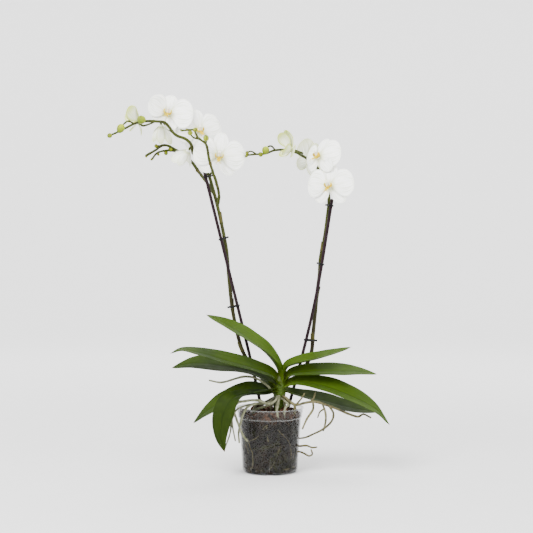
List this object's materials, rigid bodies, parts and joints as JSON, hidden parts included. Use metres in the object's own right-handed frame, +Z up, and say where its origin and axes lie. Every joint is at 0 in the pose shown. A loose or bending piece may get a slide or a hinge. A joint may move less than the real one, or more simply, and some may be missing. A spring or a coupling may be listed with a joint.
{
  "type": "potted orchid",
  "caption": "Moth orchid in a clear nursery pot of bark, with strap leaves, aerial roots and two arching spikes of white flowers clipped to thin stakes.",
  "frame": {"origin": "centre of the pot's underside, on the surface that it stands on", "axes": "+X to the right as seen in the picture, +Y away from the viewer, +Z up"},
  "size_m": [0.501, 0.1725, 0.6803],
  "materials": {
    "clear_plastic": "gloss",
    "bark": "matte",
    "leaf_green": "satin",
    "stem_green": "satin",
    "root_silver": "matte",
    "stake_purple": "satin",
    "clip_black": "satin",
    "petal_white": "matte",
    "lip_yellow": "satin"
  },
  "bodies": {
    "root": {"bark": "bark", "clip_left_low": "clip_black", "clip_left_middle": "clip_black", "clip_left_top": "clip_black", "clip_right_low": "clip_black", "clip_right_middle": "clip_black", "clip_right_top": "clip_black", "flower_left_1_lip": "lip_yellow", "flower_left_1_petals": "petal_white", "flower_left_2_lip": "lip_yellow", "flower_left_2_petals": "petal_white", "flower_left_3_lip": "lip_yellow", "flower_left_3_petals": "petal_white", "flower_left_4_lip": "lip_yellow", "flower_left_4_petals": "petal_white", "flower_left_5_lip": "lip_yellow", "flower_left_5_petals": "petal_white", "flower_left_6_lip": "lip_yellow", "flower_left_6_petals": "petal_white", "flower_right_1_lip": "lip_yellow", "flower_right_1_petals": "petal_white", "flower_right_2_lip": "lip_yellow", "flower_right_2_petals": "petal_white", "flower_right_3_lip": "lip_yellow", "flower_right_3_petals": "petal_white", "flower_right_4_lip": "lip_yellow", "flower_right_4_petals": "petal_white", "leaf_front_hanging": "leaf_green", "leaf_left_back": "leaf_green", "leaf_left_front": "leaf_green", "leaf_lower_left": "leaf_green", "leaf_lower_right": "leaf_green", "leaf_right_front": "leaf_green", "leaf_right_middle": "leaf_green", "leaf_upper_left": "leaf_green", "leaf_upper_right": "leaf_green", "pot": "clear_plastic", "root_side_lower": "root_silver", "root_side_upper": "root_silver", "roots": "root_silver", "spike_left": "stem_green", "spike_right": "stem_green", "stake_left": "stake_purple", "stake_right": "stake_purple", "stem": "leaf_green"}
  },
  "joints": []
}
